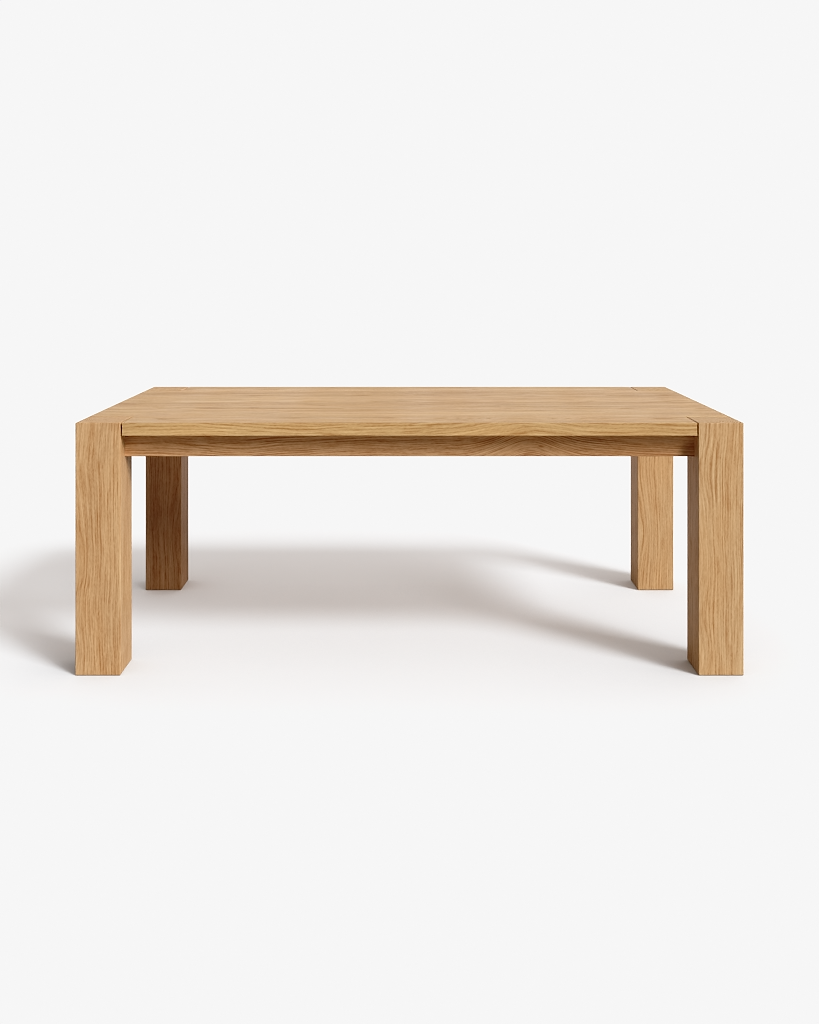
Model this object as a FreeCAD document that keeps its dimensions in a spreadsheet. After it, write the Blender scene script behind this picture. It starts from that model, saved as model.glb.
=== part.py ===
import FreeCAD, Part
import math
import os
import Sketcher

# Parsons dining table in solid oak. Millimetres, +Z up, +X along the table, the front at -Y.
# The origin is on the floor, at the middle of the table.
#
# Four square legs of glued lamellas stand at the corners, as tall as the table. Nine full-length
# boards make the top, let in round the legs with a shadow gap. Four aprons stand back under the
# top and are pulled against the legs by steel corner brackets and hanger bolts. Two cross rails
# are tenoned into the long aprons. Oak buttons and rail screws hold the top down.
#
# "Corner" sizes are counted from the outer faces of a leg, towards the middle of the table:
# along the table first, then across it.

V = FreeCAD.Vector
doc = FreeCAD.newDocument("parsons_table")

SIZES = [
    ("table_length", 2000.0),      # over the outer faces of the legs
    ("table_depth", 1000.0),
    ("table_height", 757.0),
    ("leg_side", 135.0),
    ("lamella_thick", 45.0),       # three to a leg, one behind the other
    ("leg_round", 2.0),            # eased edges of a leg
    ("foot_bevel", 2.0),           # bevel round the foot of a leg
    ("top_thick", 39.0),
    ("top_round", 1.5),            # eased edges of the top
    ("leg_gap", 4.0),              # shadow gap between leg and top
    ("seam_two", 265.0),           # seams of the top, counted from the front edge
    ("seam_three", 390.0),
    ("seam_four", 502.0),
    ("seam_five", 590.0),
    ("seam_six", 678.0),
    ("seam_seven", 805.0),
    ("seam_eight", 885.0),
    ("apron_setback", 50.0),       # from the outer face of the legs
    ("apron_thick", 35.0),
    ("apron_high", 70.0),
    ("apron_round", 2.0),
    ("dowel_diameter", 10.0),
    ("dowel_play", 0.2),           # a dowel hole is this much wider
    ("dowel_length", 40.0),
    ("dowel_depth", 21.0),         # of the hole on each side
    ("fix_low", 18.0),             # the two rows of fixings, above the apron's lower edge
    ("fix_high", 52.0),
    ("flat_cut", 40.0),            # the inner corner of a leg is milled flat this far back
    ("bracket_thick", 3.0),
    ("bracket_low", 7.0),          # above the apron's lower edge
    ("bracket_high", 56.0),
    ("bracket_reach", 175.0),      # corner size where the slanted plate meets the apron
    ("wing_end", 218.0),           # corner size of the end of a wing
    ("wing_screw", 196.0),         # corner size of the wing's screws
    ("lip_deep", 8.0),             # the lip that hooks into the kerf
    ("kerf_wide", 3.4),
    ("kerf_deep", 8.5),
    ("bolt_diameter", 8.0),
    ("bolt_start", 108.0),         # along the diagonal, from the outer corner of the leg
    ("bolt_length", 95.0),
    ("bolt_play", 0.1),
    ("bracket_hole", 9.0),
    ("washer_diameter", 20.0),
    ("washer_thick", 2.0),
    ("nut_flats", 13.0),
    ("nut_high", 6.5),
    ("wing_screw_diameter", 4.5),
    ("wing_screw_length", 22.0),
    ("rail_offset", 330.0),        # a cross rail's middle, from the middle of the table
    ("rail_thick", 30.0),
    ("rail_high", 60.0),
    ("tenon_thick", 14.0),
    ("tenon_high", 40.0),
    ("tenon_long", 15.0),
    ("mortise_play", 0.2),
    ("mortise_deep", 16.0),
    ("rail_round", 2.0),
    ("counterbore", 14.0),
    ("counterbore_deep", 30.0),
    ("rail_slot", 12.0),           # the outer screw slots, so that the top can move
    ("rail_hole", 5.5),
    ("rail_screw_front", 210.0),   # the rail screws, counted from the front edge of the top
    ("rail_screw_middle", 460.0),
    ("rail_screw_rear", 740.0),
    ("rail_screw_length", 49.0),
    ("rail_washer", 13.0),
    ("rail_washer_thick", 1.2),
    ("button_long", 40.0),
    ("button_wide", 30.0),
    ("button_high", 20.0),
    ("button_gap", 1.5),           # between a button and the apron
    ("button_tongue", 9.0),
    ("button_slot_wide", 10.0),
    ("button_slot_deep", 9.0),
    ("button_slot_drop", 12.0),    # from the top of the apron to the slot
    ("button_slot_long", 46.0),
    ("button_slot_side", 60.0),    # longer in the side aprons, where the top moves most
    ("button_far", 600.0),         # buttons on the long aprons, from the middle
    ("button_side", 150.0),        # buttons on the side aprons, from the middle
    ("top_screw_diameter", 5.0),
    ("top_screw_length", 35.0),
    ("pilot_deep", 21.0),
    ("glide_diameter", 44.0),
    ("glide_thick", 6.0),
    ("glide_proud", 1.0),
    ("glide_round", 1.2),
    ("glide_screw_diameter", 5.0),
    ("glide_screw_length", 34.0),
]

dims = doc.addObject("Spreadsheet::Sheet", "dims")
for row, (alias, number) in enumerate(SIZES, start=1):
    dims.set("A%d" % row, alias)
    dims.set("B%d" % row, repr(number))
    dims.setAlias("B%d" % row, alias)
doc.recompute()


class Size:
    """A length: its value, and the sheet expression that drives it."""

    def __init__(self, value, text):
        self.value = float(value)
        self.text = text

    def __add__(self, other):
        other = size(other)
        return Size(self.value + other.value, "(%s + %s)" % (self.text, other.text))

    def __radd__(self, other):
        return size(other) + self

    def __sub__(self, other):
        other = size(other)
        return Size(self.value - other.value, "(%s - %s)" % (self.text, other.text))

    def __rsub__(self, other):
        return size(other) - self

    def __mul__(self, other):
        other = size(other)
        return Size(self.value * other.value, "(%s * %s)" % (self.text, other.text))

    def __rmul__(self, other):
        return size(other) * self

    def __truediv__(self, other):
        other = size(other)
        return Size(self.value / other.value, "(%s / %s)" % (self.text, other.text))

    def __neg__(self):
        return Size(0, "0") - self


def size(x):
    if isinstance(x, Size):
        return x
    return Size(x, "(%.9f)" % x if x < 0 else "%.9f" % x)


D = {alias: Size(number, "dims." + alias) for alias, number in SIZES}
ROOT_HALF = math.sqrt(0.5)

HALF_LENGTH = D["table_length"] / 2
HALF_DEPTH = D["table_depth"] / 2
TOP_UNDER = D["table_height"] - D["top_thick"]
APRON_UNDER = TOP_UNDER - D["apron_high"]
APRON_INNER = D["apron_setback"] + D["apron_thick"]
NOTCH = D["leg_side"] + D["leg_gap"]
FIX_ROWS = (D["fix_low"], D["fix_high"])


# ---------------------------------------------------------------- modelling helpers

def bind(obj, path, value):
    obj.setExpression(path, size(value).text)


def put(obj, x, y, z, rotation=None):
    """Places an object; its position follows the sheet."""
    x, y, z = size(x), size(y), size(z)
    obj.Placement = FreeCAD.Placement(V(x.value, y.value, z.value), rotation or FreeCAD.Rotation())
    bind(obj, ".Placement.Base.x", x)
    bind(obj, ".Placement.Base.y", y)
    bind(obj, ".Placement.Base.z", z)


def new_body(label):
    body = doc.addObject("PartDesign::Body", label)
    body.Label = label
    return body


def origin_plane(body, role):
    for feature in body.Origin.OriginFeatures:
        if feature.Role == role:
            return feature
    raise RuntimeError("no plane " + role)


def new_sketch(body, role, level=0, turned=None):
    """A sketch on an origin plane of its own body, lifted by level along the plane's normal,
    or, with turned = ((x, y, z), rotation), anywhere from the XY plane."""
    sketch = body.newObject("Sketcher::SketchObject", body.Name + "_sketch")
    sketch.AttachmentSupport = [(origin_plane(body, role), "")]
    sketch.MapMode = "FlatFace"
    if turned:
        point, rotation = turned
        point = [size(p) for p in point]
        sketch.AttachmentOffset = FreeCAD.Placement(V(*[p.value for p in point]), rotation)
        for axis, p in zip("xyz", point):
            bind(sketch, ".AttachmentOffset.Base." + axis, p)
    else:
        level = size(level)
        sketch.AttachmentOffset = FreeCAD.Placement(V(0, 0, level.value), FreeCAD.Rotation())
        bind(sketch, ".AttachmentOffset.Base.z", level)
    return sketch


def hold(sketch, kind, *args):
    """Adds a dimension whose value follows the sheet."""
    value = size(args[-1])
    index = sketch.addConstraint(Sketcher.Constraint(kind, *(args[:-1] + (value.value,))))
    bind(sketch, "Constraints[%d]" % index, value)


def pin_point(sketch, geo, pos, x, y):
    """Holds one point of the sketch at x, y."""
    x, y = size(x), size(y)
    if abs(x.value) < 1e-9:
        sketch.addConstraint(Sketcher.Constraint("PointOnObject", geo, pos, -2))
    else:
        hold(sketch, "DistanceX", -1, 1, geo, pos, x)
    if abs(y.value) < 1e-9:
        sketch.addConstraint(Sketcher.Constraint("PointOnObject", geo, pos, -1))
    else:
        hold(sketch, "DistanceY", -1, 1, geo, pos, y)


def rectangle(sketch, x, y, wide, high):
    x, y, wide, high = size(x), size(y), size(wide), size(high)
    g = sketch.GeometryCount
    p = [V(x.value, y.value), V(x.value + wide.value, y.value),
         V(x.value + wide.value, y.value + high.value), V(x.value, y.value + high.value)]
    sketch.addGeometry([Part.LineSegment(p[k], p[(k + 1) % 4]) for k in range(4)], False)
    for k in range(4):
        sketch.addConstraint(Sketcher.Constraint("Coincident", g + k, 2, g + (k + 1) % 4, 1))
    for k in (0, 2):
        sketch.addConstraint(Sketcher.Constraint("Horizontal", g + k))
    for k in (1, 3):
        sketch.addConstraint(Sketcher.Constraint("Vertical", g + k))
    hold(sketch, "DistanceX", g, 1, g, 2, wide)
    hold(sketch, "DistanceY", g + 1, 1, g + 1, 2, high)
    pin_point(sketch, g, 1, x, y)


def circle(sketch, x, y, diameter):
    x, y, diameter = size(x), size(y), size(diameter)
    g = sketch.addGeometry(Part.Circle(V(x.value, y.value), V(0, 0, 1), diameter.value / 2), False)
    hold(sketch, "Diameter", g, diameter)
    pin_point(sketch, g, 3, x, y)


def polygon(sketch, points):
    points = [(size(x), size(y)) for x, y in points]
    g = sketch.GeometryCount
    n = len(points)
    at = [V(x.value, y.value) for x, y in points]
    sketch.addGeometry([Part.LineSegment(at[k], at[(k + 1) % n]) for k in range(n)], False)
    for k in range(n):
        sketch.addConstraint(Sketcher.Constraint("Coincident", g + k, 2, g + (k + 1) % n, 1))
    for k, (x, y) in enumerate(points):
        pin_point(sketch, g + k, 1, x, y)


def slot_across(sketch, x, y, wide, long):
    """A round-ended slot that runs along the sketch's Y, centred on x, y."""
    x, y, wide, long = size(x), size(y), size(wide), size(long)
    r, half = wide.value / 2, (long.value - wide.value) / 2
    g = sketch.GeometryCount
    up, down = V(x.value, y.value + half), V(x.value, y.value - half)
    z = V(0, 0, 1)
    sketch.addGeometry([
        Part.ArcOfCircle(Part.Circle(up, z, r), 0, math.pi),
        Part.ArcOfCircle(Part.Circle(down, z, r), math.pi, 2 * math.pi),
        Part.LineSegment(up - V(r, 0), down - V(r, 0)),
        Part.LineSegment(down + V(r, 0), up + V(r, 0)),
    ], False)
    C = Sketcher.Constraint
    sketch.addConstraint(C("Tangent", g, 2, g + 2, 1))
    sketch.addConstraint(C("Tangent", g + 2, 2, g + 1, 1))
    sketch.addConstraint(C("Tangent", g + 1, 2, g + 3, 1))
    sketch.addConstraint(C("Tangent", g + 3, 2, g, 1))
    hold(sketch, "Radius", g, wide / 2)
    pin_point(sketch, g, 3, x, y + (long - wide) / 2)
    pin_point(sketch, g + 1, 3, x, y - (long - wide) / 2)


def pad(body, sketch, length, reverse=False):
    feature = body.newObject("PartDesign::Pad", body.Name + "_pad")
    feature.Profile = sketch
    feature.Reversed = reverse
    bind(feature, "Length", length)
    before = body.Shape.Volume if not body.Shape.isNull() else 0.0
    doc.recompute()
    if body.Shape.Volume < before + 1:
        raise RuntimeError("%s: the pad added nothing" % body.Label)


def pocket(body, sketch, depth, reverse=False):
    before = body.Shape.Volume
    feature = body.newObject("PartDesign::Pocket", body.Name + "_pocket")
    feature.Profile = sketch
    feature.Reversed = reverse
    bind(feature, "Length", depth)
    doc.recompute()
    if body.Shape.Volume > before - 5:
        raise RuntimeError("%s: a pocket cut nothing" % body.Label)


def straight_edges(shape, tests):
    """Names of the straight edges that lie on one of the given lines. A line is (x, y, z), with
    None for the coordinate it runs along."""
    names = []
    for number, edge in enumerate(shape.Edges, start=1):
        ends = [v.Point for v in edge.Vertexes]
        if len(ends) != 2:
            continue
        for test in tests:
            if all(want is None or max(abs(p[k] - size(want).value) for p in ends) < 1e-4
                   for k, want in enumerate(test)):
                names.append("Edge%d" % number)
                break
    return names


def ease(body, kind, amount, tests):
    """Rounds or bevels the edges that lie on the given lines."""
    doc.recompute()
    tip = body.Tip
    names = straight_edges(tip.Shape, tests)
    if not names:
        raise RuntimeError("%s: no edge to ease" % body.Label)
    feature = body.newObject("PartDesign::" + kind, "%s_%s" % (body.Name, kind.lower()))
    feature.Base = (tip, names)
    bind(feature, "Radius" if kind == "Fillet" else "Size", amount)
    doc.recompute()


def cylinder(name, diameter, height, x, y, z, rotation=None):
    c = doc.addObject("Part::Cylinder", name)
    bind(c, "Radius", size(diameter) / 2)
    bind(c, "Height", height)
    put(c, x, y, z, rotation)
    return c


def cone(name, first, second, height, x, y, z, rotation=None):
    c = doc.addObject("Part::Cone", name)
    bind(c, "Radius1", size(first) / 2)
    bind(c, "Radius2", size(second) / 2)
    bind(c, "Height", height)
    put(c, x, y, z, rotation)
    return c


def hexagon(name, flats, height, x, y, z, rotation=None):
    c = doc.addObject("Part::Prism", name)
    c.Polygon = 6
    bind(c, "Circumradius", size(flats) / math.sqrt(3))
    bind(c, "Height", height)
    put(c, x, y, z, rotation)
    return c


def fuse(name, pieces):
    f = doc.addObject("Part::MultiFuse", name)
    f.Shapes = pieces
    return f


def cut(name, base, tool):
    f = doc.addObject("Part::Cut", name)
    f.Base = base
    f.Tool = tool
    return f


def mirrored(label, source, normal):
    """The same piece on the other side of the table."""
    m = doc.addObject("Part::Mirroring", label)
    m.Label = label
    m.Source = source
    m.Base = V(0, 0, 0)
    m.Normal = normal
    return m


def group(label, pieces):
    """Identical pieces, each a separate solid."""
    c = doc.addObject("Part::Compound", label)
    c.Label = label
    c.Links = pieces
    return c


ACROSS_X = V(1, 0, 0)
ACROSS_Y = V(0, 1, 0)


def at_four_corners(label, pieces):
    """The front left corner's pieces, and the same at the other three corners."""
    first = group(label + "_front_left", pieces)
    second = mirrored(label + "_front_right", first, ACROSS_X)
    third = mirrored(label + "_rear_left", first, ACROSS_Y)
    fourth = mirrored(label + "_rear_right", second, ACROSS_Y)
    return group(label, [first, second, third, fourth])


TO_DIAGONAL = FreeCAD.Rotation(V(-1, 1, 0), V(0, 0, 1), V(1, 1, 0))
AXIS_TO = {
    "+x": FreeCAD.Rotation(V(0, 0, 1), V(1, 0, 0)),
    "-x": FreeCAD.Rotation(V(0, 0, 1), V(-1, 0, 0)),
    "+y": FreeCAD.Rotation(V(0, 0, 1), V(0, 1, 0)),
    "-y": FreeCAD.Rotation(V(0, 0, 1), V(0, -1, 0)),
    "+z": FreeCAD.Rotation(),
}
STEP_OF = {"+x": (1, 0, 0), "-x": (-1, 0, 0), "+y": (0, 1, 0), "-y": (0, -1, 0), "+z": (0, 0, 1)}


def pan_screw(name, way, x, y, z, diameter, length, head, head_high):
    """A pan-head wood screw. x, y, z is under the head; it is driven along way."""
    diameter, length, head, head_high = size(diameter), size(length), size(head), size(head_high)
    dx, dy, dz = STEP_OF[way]
    turn = AXIS_TO[way]

    def at(distance):
        d = size(distance)
        return (size(x) + d * dx, size(y) + d * dy, size(z) + d * dz)

    tip = diameter * 1.2
    parts = [
        cylinder(name + "_shank", diameter, length - tip, *at(0), rotation=turn),
        cone(name + "_tip", diameter, diameter * 0.15, tip, *at(length - tip), rotation=turn),
        cylinder(name + "_rim", head, head_high * 0.45, *at(-(head_high * 0.45)), rotation=turn),
        cone(name + "_dome", head * 0.62, head, head_high * 0.55, *at(-head_high), rotation=turn),
    ]
    body = fuse(name + "_body", parts)
    socket = hexagon(name + "_socket", head * 0.36, head_high * 0.75, *at(-head_high), rotation=turn)
    return cut(name, body, socket)


nodes = []


def keep(obj):
    nodes.append(obj)
    return obj


# ---------------------------------------------------------------- tabletop boards

SEAMS = [size(0), NOTCH, D["seam_two"], D["seam_three"], D["seam_four"], D["seam_five"],
         D["seam_six"], D["seam_seven"], D["seam_eight"], D["table_depth"]]
BOARDS = ["top_board_1_front", "top_board_2", "top_board_3", "top_board_4", "top_board_5",
          "top_board_6", "top_board_7", "top_board_8", "top_board_9_rear"]

BUTTON_MIDDLE = APRON_INNER + D["button_gap"] + D["button_wide"] / 2
LONG_BUTTONS = [-D["button_far"], size(0), D["button_far"]]
SIDE_BUTTONS = [-D["button_side"], D["button_side"]]
RAIL_SCREWS = [D["rail_screw_front"], D["rail_screw_middle"], D["rail_screw_rear"]]

# Every screw that goes up into the top: (along the table from its middle, from the front edge).
TOP_SCREWS = [(x, BUTTON_MIDDLE) for x in LONG_BUTTONS]
TOP_SCREWS += [(x, D["table_depth"] - BUTTON_MIDDLE) for x in LONG_BUTTONS]
for side in (-1, 1):
    TOP_SCREWS += [((HALF_LENGTH - BUTTON_MIDDLE) * side, HALF_DEPTH + y) for y in SIDE_BUTTONS]
    TOP_SCREWS += [(D["rail_offset"] * side, y) for y in RAIL_SCREWS]

for number, label in enumerate(BOARDS):
    low, high = SEAMS[number], SEAMS[number + 1]
    short = number in (0, 8)
    start = NOTCH if short else size(0)
    long = D["table_length"] - start * 2
    wide = high - low
    board = new_body(label)
    put(board, start - HALF_LENGTH, low - HALF_DEPTH, TOP_UNDER)
    outline = new_sketch(board, "XY_Plane")
    rectangle(outline, 0, 0, long, wide)
    pad(board, outline, D["top_thick"])
    thick = D["top_thick"]
    if number == 7:
        # Let in round the rear legs.
        deep = high - (D["table_depth"] - NOTCH)
        for x in (size(0), long - NOTCH):
            notch = new_sketch(board, "XY_Plane")
            rectangle(notch, x, wide - deep, NOTCH, deep)
            pocket(board, notch, thick, reverse=True)
    # Eased edges: the ends of every board, and the long edge of the first and last.
    lines = [(0, None, 0), (0, None, thick), (long, None, 0), (long, None, thick)]
    if number == 0:
        lines += [(None, 0, 0), (None, 0, thick), (0, 0, None), (long, 0, None)]
    elif number == 8:
        lines += [(None, wide, 0), (None, wide, thick), (0, wide, None), (long, wide, None)]
    elif number == 7:
        y = wide - deep
        for x in (NOTCH, long - NOTCH):
            lines += [(x, None, 0), (x, None, thick)]
        lines += [(None, y, 0), (None, y, thick), (0, y, None), (long, y, None)]
    elif number == 1:
        lines += [(0, 0, None), (long, 0, None)]
    ease(board, "Fillet", D["top_round"], lines)
    if number == 1:
        # The part of the front edge that faces a front leg is bevelled, top and bottom.
        b = D["top_round"]
        for level in (size(0), long - NOTCH):
            bevel = new_sketch(board, "YZ_Plane", level)
            polygon(bevel, [(-1, thick - b - 1), (b + 1, thick + 1), (-1, thick + 1)])
            polygon(bevel, [(-1, b + 1), (-1, -1), (b + 1, -1)])
            pocket(board, bevel, NOTCH, reverse=True)
    # Pilot holes for the screws that hold this board.
    here = [(x, y) for x, y in TOP_SCREWS if low.value < y.value < high.value]
    if here:
        pilots = new_sketch(board, "XY_Plane")
        for x, y in here:
            circle(pilots, x + HALF_LENGTH - start, y - low, D["top_screw_diameter"])
        pocket(board, pilots, D["pilot_deep"], reverse=True)
    keep(board)

# ---------------------------------------------------------------- legs

LEG_HIGH = D["table_height"] - D["glide_proud"]
FIX_ON_LEG = [APRON_UNDER + row - D["glide_proud"] for row in FIX_ROWS]
APRON_MIDDLE = D["apron_setback"] + D["apron_thick"] / 2
FLAT_MIDDLE = D["leg_side"] - D["flat_cut"] / 2
DOWEL_HOLE = D["dowel_diameter"] + D["dowel_play"]
BOLT_HOLE_DEEP = (D["leg_side"] * 2 - D["flat_cut"]) * ROOT_HALF - D["bolt_start"] + 1

LEG_PLACES = ["front_left", "front_right", "rear_left", "rear_right"]
lamellas = []
for number, which in enumerate(("outer", "middle", "inner")):
    away = D["lamella_thick"] * number
    thick = D["lamella_thick"]
    side = D["leg_side"]
    lam = new_body("leg_front_left_" + which)
    put(lam, -HALF_LENGTH, away - HALF_DEPTH, D["glide_proud"])
    outline = new_sketch(lam, "XY_Plane")
    rectangle(outline, 0, 0, side, thick)
    pad(lam, outline, LEG_HIGH)
    tops = [(0, None, LEG_HIGH), (side, None, LEG_HIGH)]
    feet = [(0, None, 0), (side, None, 0)]
    if which == "outer":
        tops += [(None, 0, LEG_HIGH), (0, 0, None), (side, 0, None)]
        feet += [(None, 0, 0)]
    if which == "inner":
        tops += [(None, thick, LEG_HIGH), (0, thick, None), (side, thick, None)]
        feet += [(None, thick, 0)]
    ease(lam, "Chamfer", D["foot_bevel"], feet)
    ease(lam, "Fillet", D["leg_round"], tops)

    if which == "middle":
        # Seat of the glide and the pilot of its screw.
        seat = new_sketch(lam, "XY_Plane")
        circle(seat, side / 2, thick / 2, D["glide_diameter"] + 0.4)
        pocket(lam, seat, D["glide_thick"] - D["glide_proud"], reverse=True)
        pilot = new_sketch(lam, "XY_Plane")
        circle(pilot, side / 2, thick / 2, D["glide_screw_diameter"])
        pocket(lam, pilot, D["glide_screw_length"], reverse=True)
        # Dowel holes for the long apron.
        holes = new_sketch(lam, "YZ_Plane", side)
        for z in FIX_ON_LEG:
            circle(holes, APRON_MIDDLE - away, z, DOWEL_HOLE)
        pocket(lam, holes, D["dowel_depth"])

    if which == "inner":
        # The inner corner is milled flat, below the top, for the hanger bolts.
        flat = new_sketch(lam, "XY_Plane", APRON_UNDER - D["glide_proud"])
        polygon(flat, [(side - D["flat_cut"], thick), (side + 1, thick - D["flat_cut"] - 1),
                       (side + 1, thick + 1), (side - D["flat_cut"] - 1, thick + 1)])
        pocket(lam, flat, D["apron_high"], reverse=True)
        # Dowel holes for the side apron.
        holes = new_sketch(lam, "XZ_Plane", -thick)
        for z in FIX_ON_LEG:
            circle(holes, APRON_MIDDLE, z, DOWEL_HOLE)
        pocket(lam, holes, D["dowel_depth"], reverse=True)

    if which != "outer":
        bolts = new_sketch(lam, "XY_Plane",
                           turned=((FLAT_MIDDLE, FLAT_MIDDLE - away, 0), TO_DIAGONAL))
        for z in FIX_ON_LEG:
            circle(bolts, 0, z, D["bolt_diameter"] + D["bolt_play"])
        pocket(lam, bolts, BOLT_HOLE_DEEP)
    lamellas.append(lam)

for lam in lamellas:
    which = lam.Label.split("_")[-1]
    right = mirrored("leg_front_right_" + which, lam, ACROSS_X)
    keep(lam)
    keep(right)
    keep(mirrored("leg_rear_left_" + which, lam, ACROSS_Y))
    keep(mirrored("leg_rear_right_" + which, right, ACROSS_Y))

# ---------------------------------------------------------------- aprons

KERF_MIDDLE = D["wing_end"] - D["bracket_thick"] / 2 - D["leg_side"]
SLOT_LOW = D["apron_high"] - D["button_slot_drop"] - D["button_slot_wide"]
TENON_LOW = D["apron_high"] - D["rail_high"] + (D["rail_high"] - D["tenon_high"]) / 2


def apron(label, along_x):
    """An apron between two legs. Its own length runs along X or along Y, and its outer face is at
    zero across it."""
    full = D["table_length"] if along_x else D["table_depth"]
    long = full - D["leg_side"] * 2
    thick, high = D["apron_thick"], D["apron_high"]
    body = new_body(label)
    if along_x:
        put(body, D["leg_side"] - HALF_LENGTH, D["apron_setback"] - HALF_DEPTH, APRON_UNDER)
    else:
        put(body, D["apron_setback"] - HALF_LENGTH, D["leg_side"] - HALF_DEPTH, APRON_UNDER)

    def plan(sketch, a, c, wide, deep):
        # A rectangle seen from above: a along the apron, c across it.
        if along_x:
            rectangle(sketch, a, c, wide, deep)
        else:
            rectangle(sketch, c, a, deep, wide)

    outline = new_sketch(body, "XY_Plane")
    plan(outline, 0, 0, long, thick)
    pad(body, outline, high)
    if along_x:
        ease(body, "Fillet", D["apron_round"], [(None, 0, 0), (None, thick, 0)])
    else:
        ease(body, "Fillet", D["apron_round"], [(0, None, 0), (thick, None, 0)])
    # Saw kerfs for the lips of the corner brackets.
    kerfs = new_sketch(body, "XY_Plane")
    for middle in (KERF_MIDDLE, long - KERF_MIDDLE):
        plan(kerfs, middle - D["kerf_wide"] / 2, thick - D["kerf_deep"], D["kerf_wide"],
             D["kerf_deep"] + 1)
    pocket(body, kerfs, high, reverse=True)
    # Dowel holes in both ends.
    if along_x:
        ends = (("YZ_Plane", size(0), True), ("YZ_Plane", long, False))
    else:
        ends = (("XZ_Plane", size(0), False), ("XZ_Plane", -long, True))
    for role, level, reverse in ends:
        holes = new_sketch(body, role, level)
        for row in FIX_ROWS:
            circle(holes, thick / 2, row, DOWEL_HOLE)
        pocket(body, holes, D["dowel_depth"], reverse=reverse)
    # The inner face: screw pilots, button slots and, on the long aprons, the rail mortises.
    face = ("XZ_Plane", -thick, True) if along_x else ("YZ_Plane", thick, False)
    pilots = new_sketch(body, face[0], face[1])
    for middle in (D["wing_screw"] - D["leg_side"], long - D["wing_screw"] + D["leg_side"]):
        for row in FIX_ROWS:
            circle(pilots, middle, row, D["wing_screw_diameter"])
    pocket(body, pilots, D["wing_screw_length"] - D["bracket_thick"] + 1, reverse=face[2])
    slots = new_sketch(body, face[0], face[1])
    slot_long = D["button_slot_long"] if along_x else D["button_slot_side"]
    for place in (LONG_BUTTONS if along_x else SIDE_BUTTONS):
        rectangle(slots, long / 2 + place - slot_long / 2, SLOT_LOW, slot_long,
                  D["button_slot_wide"])
    pocket(body, slots, D["button_slot_deep"], reverse=face[2])
    if along_x:
        mortises = new_sketch(body, face[0], face[1])
        play = D["mortise_play"]
        for place in (-D["rail_offset"], D["rail_offset"]):
            rectangle(mortises, long / 2 + place - D["tenon_thick"] / 2 - play / 2,
                      TENON_LOW - play / 2, D["tenon_thick"] + play, D["tenon_high"] + play)
        pocket(body, mortises, D["mortise_deep"], reverse=face[2])
    return keep(body)


front_apron = apron("front_apron", True)
left_apron = apron("left_apron", False)
keep(mirrored("rear_apron", front_apron, ACROSS_Y))
keep(mirrored("right_apron", left_apron, ACROSS_X))

# ---------------------------------------------------------------- cross rails

RAIL_LONG = D["table_depth"] - APRON_INNER * 2
rail = new_body("cross_rail_left")
put(rail, -D["rail_offset"] - D["rail_thick"] / 2, APRON_INNER - HALF_DEPTH,
    TOP_UNDER - D["rail_high"])
outline = new_sketch(rail, "XY_Plane")
rectangle(outline, 0, 0, D["rail_thick"], RAIL_LONG)
pad(rail, outline, D["rail_high"])
ease(rail, "Fillet", D["rail_round"], [(0, None, 0), (D["rail_thick"], None, 0)])
for level, reverse in ((size(0), False), (-RAIL_LONG, True)):
    tenon = new_sketch(rail, "XZ_Plane", level)
    rectangle(tenon, (D["rail_thick"] - D["tenon_thick"]) / 2,
              (D["rail_high"] - D["tenon_high"]) / 2, D["tenon_thick"], D["tenon_high"])
    pad(rail, tenon, D["tenon_long"], reverse=reverse)
bores = new_sketch(rail, "XY_Plane")
passes = new_sketch(rail, "XY_Plane")
for number, y in enumerate(RAIL_SCREWS):
    along = y - APRON_INNER
    if number == 1:
        circle(bores, D["rail_thick"] / 2, along, D["counterbore"])
        circle(passes, D["rail_thick"] / 2, along, D["rail_hole"])
    else:
        slot_across(bores, D["rail_thick"] / 2, along, D["counterbore"],
                    D["counterbore"] + D["rail_slot"] - D["rail_hole"])
        slot_across(passes, D["rail_thick"] / 2, along, D["rail_hole"], D["rail_slot"])
pocket(rail, bores, D["counterbore_deep"], reverse=True)
pocket(rail, passes, D["rail_high"], reverse=True)
keep(rail)
keep(mirrored("cross_rail_right", rail, ACROSS_X))

# ---------------------------------------------------------------- corner brackets

a, t = APRON_INNER, D["bracket_thick"]
reach, end, lip = D["bracket_reach"], D["wing_end"], D["lip_deep"]
turn_in = reach + t * (math.sqrt(2) - 1)
bracket = new_body("corner_bracket_front_left")
put(bracket, -HALF_LENGTH, -HALF_DEPTH, APRON_UNDER + D["bracket_low"])
outline = new_sketch(bracket, "XY_Plane")
polygon(outline, [(end - t, a - lip), (end, a - lip), (end, a + t), (turn_in, a + t),
                  (a + t, turn_in), (a + t, end), (a - lip, end), (a - lip, end - t),
                  (a, end - t), (a, reach), (reach, a), (end - t, a)])
pad(bracket, outline, D["bracket_high"])
ease(bracket, "Fillet", 2.5, [(end, a + t, None), (a + t, end, None),
                              (turn_in, a + t, None), (a + t, turn_in, None)])
FIX_ON_BRACKET = [row - D["bracket_low"] for row in FIX_ROWS]
outer_middle = (reach + a) / 2 + t * ROOT_HALF
holes = new_sketch(bracket, "XY_Plane", turned=((outer_middle, outer_middle, 0), TO_DIAGONAL))
for z in FIX_ON_BRACKET:
    circle(holes, 0, z, D["bracket_hole"])
pocket(bracket, holes, t * 2)
for role, level, reverse in (("XZ_Plane", -(a + t), True), ("YZ_Plane", a + t, False)):
    holes = new_sketch(bracket, role, level)
    for z in FIX_ON_BRACKET:
        circle(holes, D["wing_screw"], z, D["wing_screw_diameter"] + 0.5)
    pocket(bracket, holes, t, reverse=reverse)
keep(bracket)
right_bracket = mirrored("corner_bracket_front_right", bracket, ACROSS_X)
keep(right_bracket)
keep(mirrored("corner_bracket_rear_left", bracket, ACROSS_Y))
keep(mirrored("corner_bracket_rear_right", right_bracket, ACROSS_Y))

# ---------------------------------------------------------------- hanger bolts, washers, nuts

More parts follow.
